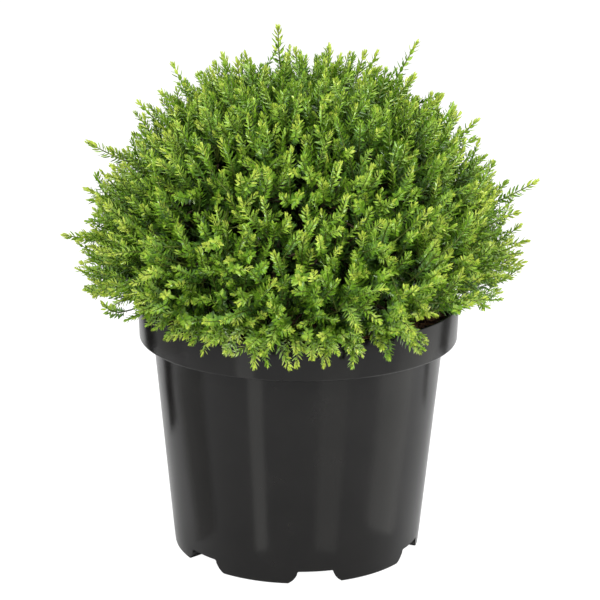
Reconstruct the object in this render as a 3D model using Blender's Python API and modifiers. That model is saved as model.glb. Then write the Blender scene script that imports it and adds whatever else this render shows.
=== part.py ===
"""Hebe shrub in its round nursery pot, modelled as separate closed solids.

Units are metres and +Z is up. The origin is on the pot's axis, level with the underside
of its feet. The front of the plant is -Y, and +X is to the right seen from there.
"""

import math
import random

import bmesh
import bpy
from mathutils import Matrix, Vector

UP = Vector((0.0, 0.0, 1.0))

# Space left between neighbouring solids
CLEARANCE = 0.0003

# Pot: a thin moulded shell with a stepped-out collar, a raised floor and six feet
POT_HEIGHT = 0.1524
COLLAR_HEIGHT = 0.0228
COLLAR_RADIUS_TOP = 0.0957
COLLAR_RADIUS_BOTTOM = 0.0950
BODY_RADIUS_TOP = 0.0867
BODY_RADIUS_BOTTOM = 0.0746
WALL = 0.0016
LEDGE_ROUND = 0.0014
RIM_ROUND = 0.0005
FLOOR_UNDERSIDE = 0.0080
FLOOR_THICKNESS = 0.0020
FOOT_INNER_RADIUS = 0.0600
FOOT_EDGE_ROUND = 0.0012
POT_SIDES = 44

# Notches between the feet, and the drain holes in the floor behind them
FOOT_COUNT = 6
FIRST_NOTCH_AZIMUTH = math.radians(-81.0)
NOTCH_HALF_WIDTH = 0.0115
NOTCH_TOP_ROUND = 0.0020
NOTCH_DEPTH = 0.0250
FOOT_CORNER_ROUND = 0.0040
DRAIN_RADIUS = 0.0045
DRAIN_CIRCLE_RADIUS = 0.0500
DRAIN_SIDES = 12
CUTTER_OVERSHOOT = 0.0020

# Compost: its top slopes from a level patch under the stem down to the wall
COMPOST_EDGE_LEVEL = 0.1400
COMPOST_MIDDLE_LEVEL = 0.1430
COMPOST_MIDDLE_RADIUS = 0.0240

# Crown: an upper and a lower half ellipsoid about one centre
CROWN_CENTRE = Vector((0.0, 0.0, 0.1780))
CROWN_RADIUS = 0.1300
CROWN_RISE = 0.1220
CROWN_DROP = 0.0630

# Stem: a short flared foot that tapers up to the fork, with a slight lean
STEM_FOOT_LEVEL = COMPOST_MIDDLE_LEVEL + CLEARANCE
STEM_TOP_LEVEL = 0.1700
STEM_FLARE_RADIUS = 0.0105
STEM_FOOT_RADIUS = 0.0068
STEM_TOP_RADIUS = 0.0044
STEM_FLARE_HEIGHT = 0.0030
STEM_LEAN = Vector((0.0015, -0.0010, 0.0))
STEM_RINGS = 7
STEM_RING_CROWDING = 1.4

# Boughs: one to each mass of foliage, leaving the stem in three tiers
BOUGH_BASE_RADIUS = 0.0021
BOUGH_TIP_RADIUS = 0.0015
BOUGH_REACH = 0.0460
BOUGH_POINTS = 4
BOUGH_END = 0.0050
BOUGH_BEND_OUT = 0.60
BOUGH_BEND_UP = 0.35
LOWER_BOUGH_LEVELS = (0.1510, 0.1572)
UPPER_BOUGH_LEVEL = 0.1640

# Masses of foliage: a cap, an upper ring and a lower ring, each mass in its own sector
CAP_TILT = math.radians(23.0)
RING_SPLIT = math.radians(24.0)
LOWER_LIMIT = math.radians(-34.0)
UPPER_COUNT = 6
LOWER_COUNT = 8
SECTOR_MARGIN = 0.0005

# Core of a mass: the dense inside of the crown, which the shoots stand out of
CORE_INNER_RADIUS = 0.0580
CORE_SHARE = 0.85
CORE_LOW_EDGE = math.radians(-14.0)
CORE_CUTS = 2
CORE_SQUARENESS = 9.0
CORE_SPREAD = 0.975

# Shoots: twigs that fork inside the core and end in enlarged leaves
HUB_DEPTH = 0.0080
MASS_STEM_RADIUS = 0.0015
MASS_STEM_SIDES = 6
FORK_SHARE = 0.60
FORK_GRID = (2, 2)
TWIG_RADIUS = 0.0015
TWIG_SIDES = 3
TWIG_SAMPLES = 6
SHOOT_RADIUS = 0.0013
SHOOT_TIP_RADIUS = 0.0010
SHOOT_LEVEL_SPREAD = (0.94, 1.04)
TIP_GRID = (3, 3)
TIP_SPREAD = 0.84
SPOT_SCATTER = 0.2
CAP_SPOT_SCATTER = 0.3
POT_CLEARANCE = 0.0012

# Skirt: shoots of the lower ring that arch over the pot's rim and hang outside it
SKIRT_SHOOTS = 2
SKIRT_START = 0.0760
SKIRT_START_ELEVATION = math.radians(-7.0)
SKIRT_OVERHANG = 0.0090
SKIRT_RISE = 0.0080
SKIRT_FLARE = 0.0060
SKIRT_DROP = (0.0105, 0.0150)
SKIRT_SCATTER = 0.05
SKIRT_KNEE_OVERLAP = 0.00065

# Leaf: much larger than the real one, which is about 4.5 mm long
LEAF_LENGTH = 0.0250
LEAF_WIDTH = 0.0102
LEAF_THICKNESS = 0.0030
LEAF_WIDEST = 0.52
LEAF_SPREAD = math.radians(40.0)
LEAF_SINK = 0.0012
PAIR_SPACING = 0.0120
PAIR_STAGGER = 0.0004
PAIR_DEPTH = 0.0020

# Long shoots that stand out of the crown: azimuth, elevation and reach of each tip
LEADERS = (
    (180.0, 84.5, 0.1356),
    (0.0, 61.0, 0.1436),
    (180.0, 56.8, 0.1350),
    (180.0, 28.8, 0.1410),
    (0.0, 38.5, 0.1317),
    (0.0, 18.0, 0.1464),
    (180.0, 4.5, 0.1396),
    (0.0, 4.2, 0.1354),
    (270.0, 9.0, 0.1408),
    (90.0, 9.0, 0.1408),
)
LEADER_PAIRS = 2

SEED = 41
WELD_DISTANCE = 0.000001


def clear_scene():
    for item in list(bpy.data.objects):
        bpy.data.objects.remove(item, do_unlink=True)


def new_collection(name, parent=None):
    collection = bpy.data.collections.new(name)
    parent = parent or bpy.context.scene.collection
    parent.children.link(collection)
    return collection


def plain_material(name, colour, roughness):
    """Principled material with one colour."""
    material = bpy.data.materials.new(name)
    material.use_nodes = True
    surface = material.node_tree.nodes["Principled BSDF"]
    surface.inputs["Base Color"].default_value = (*colour, 1.0)
    surface.inputs["Roughness"].default_value = roughness
    surface.inputs["Metallic"].default_value = 0.0
    return material


def mesh_from_bmesh(name, shape):
    mesh = bpy.data.meshes.new(name)
    shape.to_mesh(mesh)
    shape.free()
    return mesh


def add_object(name, data, collection, material=None):
    item = bpy.data.objects.new(name, data)
    collection.objects.link(item)
    if material is not None:
        item.data.materials.clear()
        item.data.materials.append(material)
    return item


def mark_as_cutter(item):
    item.hide_render = True
    item.display_type = "WIRE"


def round_shading(item, crease=math.radians(35.0)):
    item.data.shade_smooth()
    item.data.set_sharp_from_angle(angle=crease)


def arc(centre_x, centre_z, radius, start, end, steps):
    """Points of an arc in the XZ plane, with both ends, for angles in degrees."""
    points = []
    for step in range(steps + 1):
        angle = math.radians(start + (end - start) * step / steps)
        points.append((centre_x + radius * math.cos(angle), centre_z + radius * math.sin(angle)))
    return points


def turned_object(name, profile, collection, material):
    """Solid of revolution about Z from a profile whose two ends lie on the axis."""
    shape = bmesh.new()
    points = [shape.verts.new((x, 0.0, z)) for x, z in profile]
    for start, end in zip(points, points[1:]):
        shape.edges.new((start, end))
    item = add_object(name, mesh_from_bmesh(name, shape), collection, material)
    screw = item.modifiers.new("Turn", "SCREW")
    screw.axis = "Z"
    screw.steps = POT_SIDES
    screw.render_steps = POT_SIDES
    screw.use_merge_vertices = True
    screw.merge_threshold = 0.00001
    return item


def mesh_from_curve(item):
    """Replace a curve object by a mesh object of the same name, with its caps welded on."""
    bpy.context.view_layer.update()
    graph = bpy.context.evaluated_depsgraph_get()
    mesh = bpy.data.meshes.new_from_object(item.evaluated_get(graph))
    shape = bmesh.new()
    shape.from_mesh(mesh)
    bmesh.ops.remove_doubles(shape, verts=shape.verts, dist=WELD_DISTANCE)
    shape.to_mesh(mesh)
    shape.free()
    name = item.name
    collection = item.users_collection[0]
    placement = item.matrix_world.copy()
    bpy.data.objects.remove(item, do_unlink=True)
    solid = add_object(name, mesh, collection)
    solid.matrix_world = placement
    return solid


def tapered_limb(name, points, radii, bevel_resolution, collection, material):
    """Round limb through the points, with its own radius at each and flat ends."""
    curve = bpy.data.curves.new(name, "CURVE")
    curve.dimensions = "3D"
    curve.bevel_depth = 1.0
    curve.bevel_resolution = bevel_resolution
    curve.use_fill_caps = True
    spline = curve.splines.new("POLY")
    spline.points.add(len(points) - 1)
    for knot, point, radius in zip(spline.points, points, radii):
        knot.co = (*point, 1.0)
        knot.radius = radius
    item = mesh_from_curve(add_object(name, curve, collection))
    item.data.materials.clear()
    item.data.materials.append(material)
    return item


def body_radius(level):
    """Outer radius of the pot's body at a height above the ground."""
    share = level / (POT_HEIGHT - COLLAR_HEIGHT)
    return BODY_RADIUS_BOTTOM + (BODY_RADIUS_TOP - BODY_RADIUS_BOTTOM) * share


def collar_radius(level):
    """Outer radius of the pot's collar at a height above the ground."""
    share = (level - POT_HEIGHT + COLLAR_HEIGHT) / COLLAR_HEIGHT
    return COLLAR_RADIUS_BOTTOM + (COLLAR_RADIUS_TOP - COLLAR_RADIUS_BOTTOM) * share


def add_pot(parts, cutters, plastic):
    """Turned shell, with notches that leave six feet, and drain holes."""
    ledge = POT_HEIGHT - COLLAR_HEIGHT
    floor_top = FLOOR_UNDERSIDE + FLOOR_THICKNESS
    profile = [
        (0.0, floor_top),
        (body_radius(floor_top) - WALL, floor_top),
        (body_radius(ledge + WALL) - WALL, ledge + WALL),
        (collar_radius(ledge + WALL) - WALL, ledge + WALL),
        (COLLAR_RADIUS_TOP - WALL, POT_HEIGHT - RIM_ROUND),
        (COLLAR_RADIUS_TOP - WALL + RIM_ROUND, POT_HEIGHT),
        (COLLAR_RADIUS_TOP - RIM_ROUND, POT_HEIGHT),
        (COLLAR_RADIUS_TOP, POT_HEIGHT - RIM_ROUND),
        (collar_radius(ledge + LEDGE_ROUND), ledge + LEDGE_ROUND),
        (COLLAR_RADIUS_BOTTOM - LEDGE_ROUND, ledge),
        (BODY_RADIUS_TOP, ledge),
        (body_radius(FOOT_EDGE_ROUND), FOOT_EDGE_ROUND),
        (BODY_RADIUS_BOTTOM - FOOT_EDGE_ROUND, 0.0),
        (FOOT_INNER_RADIUS + FOOT_EDGE_ROUND, 0.0),
        (FOOT_INNER_RADIUS, FOOT_EDGE_ROUND),
        (FOOT_INNER_RADIUS, FLOOR_UNDERSIDE),
        (0.0, FLOOR_UNDERSIDE),
    ]
    pot = turned_object("pot", profile, parts, plastic)
    openings = new_collection("pot_openings", cutters)
    for index in range(FOOT_COUNT):
        azimuth = FIRST_NOTCH_AZIMUTH + index * math.tau / FOOT_COUNT
        add_notch_cutter(f"notch_{index + 1}", azimuth, openings)
        add_drain_cutter(f"drain_{index + 1}", azimuth, openings)
    cut = pot.modifiers.new("Feet and drain holes", "BOOLEAN")
    cut.operation = "DIFFERENCE"
    cut.operand_type = "COLLECTION"
    cut.collection = openings
    cut.solver = "EXACT"
    return pot


def add_notch_cutter(name, azimuth, collection):
    """Radial block with rounded top corners, flaring at the ground to round the feet."""
    foot_side = NOTCH_HALF_WIDTH + FOOT_CORNER_ROUND
    side = [(foot_side, -CUTTER_OVERSHOOT), (foot_side, 0.0)]
    side += arc(foot_side, FOOT_CORNER_ROUND, FOOT_CORNER_ROUND, 255.0, 180.0, 3)
    corner_x = NOTCH_HALF_WIDTH - NOTCH_TOP_ROUND
    corner_z = FLOOR_UNDERSIDE - NOTCH_TOP_ROUND
    side += arc(corner_x, corner_z, NOTCH_TOP_ROUND, 0.0, 90.0, 2)
    outline = side + [(-x, z) for x, z in reversed(side)]
    curve = bpy.data.curves.new(name, "CURVE")
    curve.dimensions = "2D"
    curve.fill_mode = "BOTH"
    curve.extrude = NOTCH_DEPTH / 2
    spline = curve.splines.new("POLY")
    spline.points.add(len(outline) - 1)
    spline.use_cyclic_u = True
    for knot, (x, z) in zip(spline.points, outline):
        knot.co = (x, z, 0.0, 1.0)
    cutter = add_object(name, curve, collection)
    middle = FOOT_INNER_RADIUS + NOTCH_DEPTH / 2 - CUTTER_OVERSHOOT
    upright = Matrix.Rotation(math.radians(90.0), 4, "X")
    outwards = Matrix.Rotation(azimuth + math.radians(90.0), 4, "Z")
    cutter.matrix_world = Matrix.Translation(direction_to(azimuth, 0.0) * middle) @ outwards @ upright
    mark_as_cutter(mesh_from_curve(cutter))


def add_drain_cutter(name, azimuth, collection):
    shape = bmesh.new()
    bmesh.ops.create_cone(
        shape, cap_ends=True, segments=DRAIN_SIDES,
        radius1=DRAIN_RADIUS, radius2=DRAIN_RADIUS, depth=FLOOR_THICKNESS + 2 * CUTTER_OVERSHOOT,
    )
    cutter = add_object(name, mesh_from_bmesh(name, shape), collection)
    cutter.location = direction_to(azimuth, 0.0) * DRAIN_CIRCLE_RADIUS
    cutter.location.z = FLOOR_UNDERSIDE + FLOOR_THICKNESS / 2
    mark_as_cutter(cutter)


def add_compost(parts, peat):
    """Fill of the pot, a little clear of its walls and floor all round."""
    ledge = POT_HEIGHT - COLLAR_HEIGHT + WALL
    floor_top = FLOOR_UNDERSIDE + FLOOR_THICKNESS
    gap = WALL + CLEARANCE
    profile = [
        (0.0, COMPOST_MIDDLE_LEVEL),
        (COMPOST_MIDDLE_RADIUS, COMPOST_MIDDLE_LEVEL),
        (collar_radius(COMPOST_EDGE_LEVEL) - gap, COMPOST_EDGE_LEVEL),
        (collar_radius(ledge) - gap, ledge + CLEARANCE),
        (body_radius(ledge) - gap, ledge + CLEARANCE),
        (body_radius(floor_top) - gap, floor_top + CLEARANCE),
        (0.0, floor_top + CLEARANCE),
    ]
    return turned_object("compost", profile, parts, peat)


def stem_share(level):
    """How far up the stem a height is, from 0 at its foot to 1 at its top."""
    return (level - STEM_FOOT_LEVEL) / (STEM_TOP_LEVEL - STEM_FOOT_LEVEL)


def stem_point(level):
    """Middle of the stem at a height, following its lean."""
    return STEM_LEAN * stem_share(level) ** 2 + UP * level


def stem_radius(level):
    taper = STEM_FOOT_RADIUS + (STEM_TOP_RADIUS - STEM_FOOT_RADIUS) * stem_share(level)
    flare = STEM_FLARE_RADIUS - STEM_FOOT_RADIUS
    return taper + flare * math.exp(-(level - STEM_FOOT_LEVEL) / STEM_FLARE_HEIGHT)


def stem_limb(name, collection, material, growth):
    """The stem, or with some growth the room that the boughs leave round it."""
    points = []
    radii = []
    for ring in range(STEM_RINGS + 1):
        share = (ring / STEM_RINGS) ** STEM_RING_CROWDING
        level = STEM_FOOT_LEVEL + (STEM_TOP_LEVEL - STEM_FOOT_LEVEL) * share
        points.append(stem_point(level))
        radii.append(stem_radius(level) + growth)
    points[-1].z += growth
    return tapered_limb(name, points, radii, 3, collection, material)


def crown_reach(elevation):
    """Distance from the crown's centre to its dense outline, at an elevation."""
    height = CROWN_RISE if elevation >= 0 else CROWN_DROP
    return 1.0 / math.hypot(math.cos(elevation) / CROWN_RADIUS, math.sin(elevation) / height)


def direction_to(azimuth, elevation):
    flat = math.cos(elevation)
    return Vector((flat * math.cos(azimuth), flat * math.sin(azimuth), math.sin(elevation)))


class Sector:
    """Share of the crown that one mass of foliage fills, seen from the crown's centre."""

    def __init__(self, name, azimuth, half_width, low, high, core_low):
        self.name = name
        self.azimuth = azimuth
        self.half_width = half_width
        self.low = low
        self.high = high
        self.core_low = core_low

    def direction(self, across, up):
        """Direction for across and up between -1 and 1, from edge to edge of the core."""
        elevation = (self.core_low + self.high) / 2 + up * (self.high - self.core_low) / 2
        return direction_to(self.azimuth + across * self.half_width, elevation)

    def axis(self):
        return self.direction(0.0, 0.0)

    def spots(self, columns, rows, chance):
        """Places spread evenly over the sector with some scatter, between -1 and 1 each way."""
        places = []
        for column in range(columns):
            for row in range(rows):
                sideways = column + 0.5 + chance.uniform(-SPOT_SCATTER, SPOT_SCATTER)
                upwards = row + 0.5 + chance.uniform(-SPOT_SCATTER, SPOT_SCATTER)
                places.append((2 * sideways / columns - 1, 2 * upwards / rows - 1))
        return places

    def room(self, point):
        """Distance from a point to the nearest wall of the sector, negative outside."""
        offset = point - CROWN_CENTRE
        distance = offset.length
        elevation = math.asin(max(-1.0, min(1.0, offset.z / distance)))
        turn = math.atan2(offset.y, offset.x) - self.azimuth
        turn = abs((turn + math.pi) % math.tau - math.pi)
        if turn >= self.half_width:
            return -distance
        sideways = math.hypot(offset.x, offset.y) * math.sin(self.half_width - turn)
        below = distance * math.sin(elevation - self.low)
        above = distance * math.sin(self.high - elevation)
        return min(sideways, below, above)


class Cap(Sector):
    """The sector round the crown's top, bounded by a cone."""

    def __init__(self, name, tilt):
        low = math.pi / 2 - tilt
        super().__init__(name, 0.0, math.pi, low, math.pi / 2, low)
        self.tilt = tilt

    def direction(self, across, up):
        tilt = min(1.0, math.hypot(across, up)) * self.tilt
        return direction_to(math.atan2(up, across), math.pi / 2 - tilt)

    def spots(self, columns, rows, chance):
        """Places along a sunflower spiral, as many as a grid of columns and rows has."""
        places = []
        total = columns * rows
        golden_turn = math.pi * (3 - math.sqrt(5))
        for place in range(total):
            reach = math.sqrt((place + 0.5) / total)
            turn = place * golden_turn + chance.uniform(-CAP_SPOT_SCATTER, CAP_SPOT_SCATTER)
            places.append((reach * math.cos(turn), reach * math.sin(turn)))
        return places

    def room(self, point):
        offset = point - CROWN_CENTRE
        return offset.length * math.sin(self.tilt - offset.angle(UP))


def crown_sectors():
    """The cap, the upper ring and the lower ring, in that order."""
    cap_edge = math.pi / 2 - CAP_TILT
    sectors = [Cap("top", CAP_TILT)]
    for index in range(UPPER_COUNT):
        azimuth = index * math.tau / UPPER_COUNT
        half_width = math.pi / UPPER_COUNT
        name = f"upper_{index + 1}"
        sectors.append(Sector(name, azimuth, half_width, RING_SPLIT, cap_edge, RING_SPLIT))
    for index in range(LOWER_COUNT):
        azimuth = index * math.tau / LOWER_COUNT
        half_width = math.pi / LOWER_COUNT
        name = f"lower_{index + 1}"
        sectors.append(Sector(name, azimuth, half_width, LOWER_LIMIT, RING_SPLIT, CORE_LOW_EDGE))
    return sectors


def bough_level(sector):
    """Height at which a sector's bough leaves the stem; the lower ones take turns at two."""
    ring, _, number = sector.name.partition("_")
    if ring == "top":
        return STEM_TOP_LEVEL - STEM_TOP_RADIUS
    if ring == "upper":
        return UPPER_BOUGH_LEVEL
    return LOWER_BOUGH_LEVELS[(int(number) - 1) % len(LOWER_BOUGH_LEVELS)]


def add_bough(sector, room, parts, bark):
    """Tapering limb that arches from the stem to just short of the mass's own stem."""
    tip = CROWN_CENTRE + sector.axis() * BOUGH_REACH
    base = stem_point(bough_level(sector))
    shoulder = tip - sector.axis() * BOUGH_END
    bend_level = base.z + (tip.z - base.z) * BOUGH_BEND_UP
    bend = Vector((tip.x * BOUGH_BEND_OUT, tip.y * BOUGH_BEND_OUT, bend_level))
    points = []
    for step in range(BOUGH_POINTS):
        t = step / (BOUGH_POINTS - 1)
        points.append(base * (1 - t) ** 2 + bend * 2 * t * (1 - t) + shoulder * t * t)
    points.append(tip)
    thinning = (BOUGH_BASE_RADIUS - BOUGH_TIP_RADIUS) / BOUGH_POINTS
    radii = [BOUGH_BASE_RADIUS - thinning * step for step in range(BOUGH_POINTS + 1)]
    bough = tapered_limb(f"bough_{sector.name}", points, radii, 1, parts, bark)
    cut = bough.modifiers.new("Clear of the stem", "BOOLEAN")
    cut.operation = "DIFFERENCE"
    cut.object = room
    cut.solver = "EXACT"
    round_shading(bough)


def unit_leaf():
    """Leaf of eight faces from its root at the origin to its tip on +Z, flat across Y."""
    shape = bmesh.new()
    bmesh.ops.create_uvsphere(shape, u_segments=4, v_segments=2, radius=1.0)
    for vertex in shape.verts:
        along = (0.0, LEAF_WIDEST, 1.0)[round(vertex.co.z) + 1]
        vertex.co.x *= LEAF_WIDTH / 2
        vertex.co.y *= LEAF_THICKNESS / 2
        vertex.co.z = LEAF_LENGTH * along
    return mesh_from_bmesh("leaf", shape)


def leaf_placement(root, along, facing):
    """Matrix for a leaf at a root, pointing along one direction and facing another."""
    across = facing.cross(along).normalized()
    facing = along.cross(across).normalized()
    turn = Matrix((across, facing, along)).transposed().to_4x4()
    return Matrix.Translation(root) @ turn


def clear_of_pot(point):
    beside = math.hypot(point.x, point.y) > COLLAR_RADIUS_TOP + POT_CLEARANCE
    return beside or point.z > POT_HEIGHT + POT_CLEARANCE


class Mass:
    """Twigs and leaves of one sector, gathered to be joined with its core."""

    def __init__(self, sector, leaf_mesh):
        self.sector = sector
        self.leaf_mesh = leaf_mesh
        self.pieces = new_collection(f"pieces_{sector.name}")
        self.random = random.Random(f"{SEED}-{sector.name}")
        self.forks = []

    def allows(self, points, margin):
        return all(self.sector.room(point) > margin and clear_of_pot(point) for point in points)

    def add_twig(self, start, end, start_radius, end_radius, sides=TWIG_SIDES):
        """Straight tapering twig, left out where it would leave its space."""
        samples = [start.lerp(end, step / TWIG_SAMPLES) for step in range(TWIG_SAMPLES + 1)]
        if not self.allows(samples, SECTOR_MARGIN + start_radius):
            return False
        shape = bmesh.new()
        bmesh.ops.create_cone(
            shape, cap_ends=True, segments=sides,
            radius1=start_radius, radius2=end_radius, depth=(end - start).length,
        )
        name = f"{self.pieces.name}_twig"
        twig = add_object(name, mesh_from_bmesh(name, shape), self.pieces)
        turn = (end - start).to_track_quat("Z", "Y").to_matrix().to_4x4()
        spin = Matrix.Rotation(self.random.uniform(0, math.tau), 4, "Z")
        twig.matrix_world = Matrix.Translation((start + end) / 2) @ turn @ spin
        return True

    def add_leaf(self, root, along, facing):
        """Leaf at a root, left out where it would leave its space."""
        placement = leaf_placement(root, along, facing)
        corners = [placement @ vertex.co for vertex in self.leaf_mesh.vertices]
        middles = []
        for edge in self.leaf_mesh.edges:
            start, end = edge.vertices
            middles.append((corners[start] + corners[end]) / 2)
        if self.allows(corners + middles, SECTOR_MARGIN):
            leaf = add_object(f"{self.pieces.name}_leaf", self.leaf_mesh, self.pieces)
            leaf.matrix_world = placement

    def add_shoot(self, start, tip, pairs):
        """Twig that ends in a leaf at the tip, with crossed pairs of leaves below it."""
        along = (tip - start).normalized()
        end = tip - along * (LEAF_LENGTH - LEAF_SINK)
        if not self.add_twig(start, end, SHOOT_RADIUS, SHOOT_TIP_RADIUS):
            return
        side = along.orthogonal().normalized()
        side.rotate(Matrix.Rotation(self.random.uniform(0, math.pi), 3, along))
        self.add_leaf(end - along * LEAF_SINK, along, side)
        for pair in range(pairs):
            node = end - along * (PAIR_DEPTH + PAIR_SPACING * pair)
            side = side.cross(along)
            for way in (side, -side):
                leaf_along = along * math.cos(LEAF_SPREAD) + way * math.sin(LEAF_SPREAD)
                leaf_facing = along * math.sin(LEAF_SPREAD) - way * math.cos(LEAF_SPREAD)
                self.add_leaf(node, leaf_along, leaf_facing)
                node += along * PAIR_STAGGER

    def nearest_fork(self, tip):
        return min(self.forks, key=lambda fork: (fork - tip).length)

    def grow(self):
        """Stem, forks and shoots of the mass, by one seeded rule."""
        axis = self.sector.axis()
        hub = CROWN_CENTRE + axis * (CORE_INNER_RADIUS + HUB_DEPTH)
        stem_start = CROWN_CENTRE + axis * (BOUGH_REACH + CLEARANCE)
        self.add_twig(stem_start, hub, MASS_STEM_RADIUS, MASS_STEM_RADIUS, MASS_STEM_SIDES)
        for across, up in self.sector.spots(*FORK_GRID, self.random):
            way = self.sector.direction(across * TIP_SPREAD, up * TIP_SPREAD)
            fork = CROWN_CENTRE + way * crown_reach(math.asin(way.z)) * FORK_SHARE
            if self.add_twig(hub, fork, TWIG_RADIUS, SHOOT_RADIUS):
                self.forks.append(fork)
        for across, up in self.sector.spots(*TIP_GRID, self.random):
            way = self.sector.direction(across * TIP_SPREAD, up * TIP_SPREAD)
            share = self.random.uniform(*SHOOT_LEVEL_SPREAD)
            tip = CROWN_CENTRE + way * crown_reach(math.asin(way.z)) * share
            self.add_shoot(self.nearest_fork(tip), tip, 1)
        for azimuth, elevation, reach in LEADERS:
            way = direction_to(math.radians(azimuth), math.radians(elevation))
            tip = CROWN_CENTRE + way * reach
            if self.sector.room(tip) > SECTOR_MARGIN:
                self.add_shoot(self.nearest_fork(tip), tip, LEADER_PAIRS)
        if self.sector.core_low == CORE_LOW_EDGE:
            self.grow_skirt()

    def grow_skirt(self):
        """Shoots that arch out over the pot's rim and hang down outside it."""
        for place in range(SKIRT_SHOOTS):
            across = (2 * (place + 0.5) / SKIRT_SHOOTS - 1) * TIP_SPREAD
            across += self.random.uniform(-SKIRT_SCATTER, SKIRT_SCATTER)
            azimuth = self.sector.azimuth + across * self.sector.half_width
            outwards = direction_to(azimuth, 0.0)
            start = CROWN_CENTRE + direction_to(azimuth, SKIRT_START_ELEVATION) * SKIRT_START
            knee = outwards * (COLLAR_RADIUS_TOP + SKIRT_OVERHANG) + UP * (POT_HEIGHT + SKIRT_RISE)
            tip = outwards * (COLLAR_RADIUS_TOP + SKIRT_OVERHANG + SKIRT_FLARE)
            tip.z = POT_HEIGHT - self.random.uniform(*SKIRT_DROP)
            if self.add_twig(start, knee, SHOOT_RADIUS, SHOOT_RADIUS):
                self.add_shoot(knee - outwards * SKIRT_KNEE_OVERLAP, tip, 1)

    def join(self, core):
        """Fuse twigs and leaves with the core into one closed body."""
        union = core.modifiers.new("Join", "BOOLEAN")
        union.operation = "UNION"
        union.operand_type = "COLLECTION"
        union.collection = self.pieces
        union.solver = "MANIFOLD"
        bpy.context.view_layer.update()
        graph = bpy.context.evaluated_depsgraph_get()
        mesh = bpy.data.meshes.new_from_object(core.evaluated_get(graph))
        core.modifiers.clear()
        core.data = mesh
        keep_outer_shell(core)
        for piece in list(self.pieces.objects):
            bpy.data.objects.remove(piece, do_unlink=True)
        bpy.data.collections.remove(self.pieces)


def add_core(sector, parts, green):
    """Rounded block that fills the inside of the sector."""
    shape = bmesh.new()
    bmesh.ops.create_cube(shape, size=2.0)
    bmesh.ops.subdivide_edges(shape, edges=shape.edges, cuts=CORE_CUTS, use_grid_fill=True)
    for vertex in shape.verts:
        powers = [abs(part) ** CORE_SQUARENESS for part in vertex.co]
        across, up, depth = vertex.co / sum(powers) ** (1 / CORE_SQUARENESS)
        way = sector.direction(across * CORE_SPREAD, up * CORE_SPREAD)
        outer = crown_reach(math.asin(way.z)) * CORE_SHARE
        distance = CORE_INNER_RADIUS + (outer - CORE_INNER_RADIUS) * (depth + 1) / 2
        vertex.co = CROWN_CENTRE + way * distance
    name = f"foliage_{sector.name}"
    return add_object(name, mesh_from_bmesh(name, shape), parts, green)


def keep_outer_shell(item):
    """Drop loose scraps, and fill hollows that joining has sealed."""
    shape = bmesh.new()
    shape.from_mesh(item.data)
    shells = []
    waiting = set(shape.verts)
    while waiting:
        shell = [waiting.pop()]
        for vertex in shell:
            for edge in vertex.link_edges:
                other = edge.other_vert(vertex)
                if other in waiting:
                    waiting.remove(other)
                    shell.append(other)
        shells.append(shell)
    shells.sort(key=len)
    for shell in shells[:-1]:
        bmesh.ops.delete(shape, geom=shell, context="VERTS")
    shape.to_mesh(item.data)
    shape.free()


def main():
    clear_scene()
    parts = new_collection("hebe_shrub")
    cutters = new_collection("cutters")
    plastic = plain_material("black_plastic", (0.028, 0.028, 0.028), 0.28)
    peat = plain_material("compost", (0.060, 0.035, 0.020), 0.95)
    bark = plain_material("bark", (0.130, 0.085, 0.050), 0.85)
    green = plain_material("leaf_green", (0.150, 0.330, 0.020), 0.55)
    round_shading(add_pot(parts, cutters, plastic))
    add_compost(parts, peat)
    round_shading(stem_limb("stem", parts, bark, 0.0))
    stem_room = stem_limb("stem_room", cutters, bark, CLEARANCE)
    mark_as_cutter(stem_room)
    leaf_mesh = unit_leaf()
    for sector in crown_sectors():
        add_bough(sector, stem_room, parts, bark)
        mass = Mass(sector, leaf_mesh)
        mass.grow()
        mass.join(add_core(sector, parts, green))


main()
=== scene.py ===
import math
import random

import bpy
import numpy as np
from mathutils import Matrix, Vector, noise


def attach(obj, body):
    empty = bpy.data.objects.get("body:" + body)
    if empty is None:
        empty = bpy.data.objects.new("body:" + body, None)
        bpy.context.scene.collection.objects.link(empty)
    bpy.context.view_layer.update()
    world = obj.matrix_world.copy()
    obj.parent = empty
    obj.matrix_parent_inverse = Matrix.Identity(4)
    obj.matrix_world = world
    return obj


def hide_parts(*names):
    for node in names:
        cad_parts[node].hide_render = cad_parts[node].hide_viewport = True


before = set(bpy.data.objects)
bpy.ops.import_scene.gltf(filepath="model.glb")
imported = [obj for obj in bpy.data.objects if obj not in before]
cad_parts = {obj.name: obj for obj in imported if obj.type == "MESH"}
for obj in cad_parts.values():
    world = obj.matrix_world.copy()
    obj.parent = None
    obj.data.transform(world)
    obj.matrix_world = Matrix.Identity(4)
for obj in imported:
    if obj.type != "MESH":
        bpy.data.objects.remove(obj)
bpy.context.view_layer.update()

# Pot: a thin-walled nursery pot, injection moulded in glossy black polypropylene, with a
# stepped-out collar, a raised floor with drain holes and six feet. It stands on those feet.
POT_HEIGHT = 0.1524
COLLAR_HEIGHT = 0.0228
COLLAR_RADIUS_TOP = 0.0957
COLLAR_RADIUS_BOTTOM = 0.0950
BODY_RADIUS_TOP = 0.0867
BODY_RADIUS_BOTTOM = 0.0746
WALL = 0.0016
LEDGE_LEVEL = POT_HEIGHT - COLLAR_HEIGHT
LEDGE_ROUND = 0.0015
LEDGE_CORNER = 0.0007
FLOOR_UNDERSIDE = 0.0080
FLOOR_TOP = 0.0100
FOOT_INNER_RADIUS = 0.0600
FOOT_EDGE_ROUND = 0.0012
POT_SIDES = 168
NOTCH_AZIMUTHS = (-137.0, -81.3, -24.5, 37.0, 98.0, 160.0)
NOTCH_HALF_WIDTH = 0.0108
NOTCH_TOP_ROUND = 0.0012
NOTCH_DEPTH = 0.0250
FOOT_CORNER_ROUND = 0.0062
FOOT_CORNER_SPREAD = 0.0068
FOOT_CORNER_SLANT = 0.35
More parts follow.
